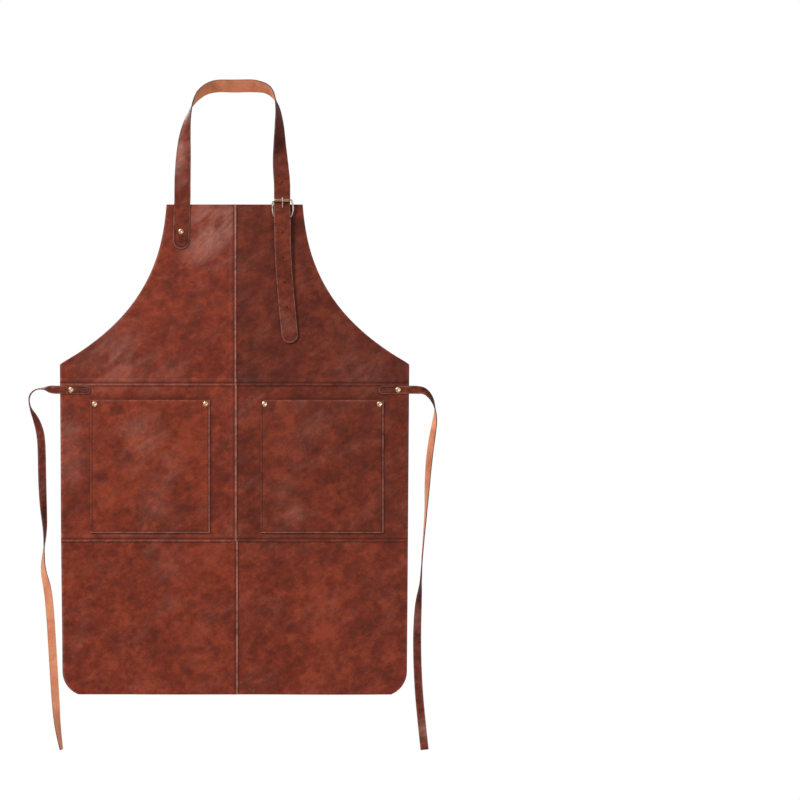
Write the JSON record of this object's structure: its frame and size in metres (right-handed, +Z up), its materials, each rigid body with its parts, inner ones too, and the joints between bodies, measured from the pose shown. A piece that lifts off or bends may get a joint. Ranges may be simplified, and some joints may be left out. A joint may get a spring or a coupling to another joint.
{
  "type": "leather work apron",
  "caption": "Full-length leather work apron with patch pockets, an adjustable buckled neck strap and waist ties, hanging by its neck loop.",
  "frame": {"origin": "top of the neck strap's loop, on the strap's middle line, where a hook would carry the apron", "axes": "+Z up, +X to the right of a person facing the apron, +Y to the back (flesh side); the grain side faces -Y"},
  "size_m": [0.6543, 0.0272, 1.073],
  "materials": {
    "panel_leather": "mottled brown pull-up grain, tan suede flesh side",
    "pocket_leather": "mottled brown pull-up grain, tan suede flesh side",
    "strap_leather": "dark brown bridle grain with burnished edges, tan flesh side",
    "tie_leather": "dark brown grain, light tan flesh side",
    "thread": "waxed dark brown thread",
    "brass": "antique satin brass",
    "steel": "antique silver"
  },
  "bodies": {
    "neck_loop": {"neck_strap_loop": "strap_leather"},
    "apron": {"bib_centre_seam_thread": "thread", "bib_panel_left": "panel_leather", "bib_panel_right": "panel_leather", "buckle_chape": "strap_leather", "chape_rivet_back": "brass", "chape_rivet_cap": "brass", "chape_thread": "thread", "neck_strap_left_end": "strap_leather", "neck_strap_rivet_back": "brass", "neck_strap_rivet_cap": "brass", "neck_strap_thread": "thread", "neck_strap_to_roller": "strap_leather", "pocket_left": "pocket_leather", "pocket_left_rivet_backs": "brass", "pocket_left_rivet_caps": "brass", "pocket_left_thread": "thread", "pocket_right": "pocket_leather", "pocket_right_rivet_backs": "brass", "pocket_right_rivet_caps": "brass", "pocket_right_thread": "thread", "skirt_centre_seam_thread": "thread", "skirt_cross_seam_thread": "thread", "skirt_panel_left": "panel_leather", "skirt_panel_right": "panel_leather", "tie_left_rivet_back": "brass", "tie_left_rivet_cap": "brass", "tie_left_tab": "tie_leather", "tie_left_thread": "thread", "tie_right_rivet_back": "brass", "tie_right_rivet_cap": "brass", "tie_right_tab": "tie_leather", "tie_right_thread": "thread", "waist_centre_seam_thread": "thread", "waist_cross_seam_thread": "thread", "waist_panel_left": "panel_leather", "waist_panel_right": "panel_leather"},
    "strap_tail": {"neck_strap_tail": "strap_leather"},
    "buckle": {"buckle_frame": "steel"},
    "roller": {"buckle_roller": "brass"},
    "prong": {"buckle_prong": "steel"},
    "left_tie": {"tie_left": "tie_leather"},
    "right_tie": {"tie_right": "tie_leather"}
  },
  "joints": [
    {"name": "apron_swing", "type": "hinge", "parent": "neck_loop", "child": "apron", "pos_m": [0, -0.004, -0.17], "axis": [-1, 0, 0], "range_deg": [-90, 90]},
    {"name": "tail_lift", "type": "hinge", "parent": "apron", "child": "strap_tail", "pos_m": [0.077, -0.01017, -0.183], "axis": [-1, 0, 0], "range_deg": [0, 20]},
    {"name": "buckle_tilt", "type": "hinge", "parent": "apron", "child": "buckle", "pos_m": [0.077, -0.00505, -0.209], "axis": [1, 0, 0], "range_deg": [0, 4]},
    {"name": "prong_lift", "type": "hinge", "parent": "buckle", "child": "prong", "pos_m": [0.077, -0.00505, -0.209], "axis": [1, 0, 0], "range_deg": [0, 12.5]},
    {"name": "roller_spin", "type": "hinge", "parent": "buckle", "child": "roller", "pos_m": [0.077, -0.01017, -0.183], "axis": [1, 0, 0], "continuous": true},
    {"name": "tie_left_swing", "type": "hinge", "parent": "apron", "child": "left_tie", "pos_m": [-0.28219, -0.0027, -0.486], "axis": [0, 0, 1], "range_deg": [-90, 100]},
    {"name": "tie_right_swing", "type": "hinge", "parent": "apron", "child": "right_tie", "pos_m": [0.28219, -0.0027, -0.486], "axis": [0, 0, 1], "range_deg": [-100, 90]}
  ],
  "couplings": [
    {"joint": "buckle_tilt", "follows": "tail_lift", "ratio": 0.2},
    {"joint": "prong_lift", "follows": "tail_lift", "ratio": 0.62}
  ]
}
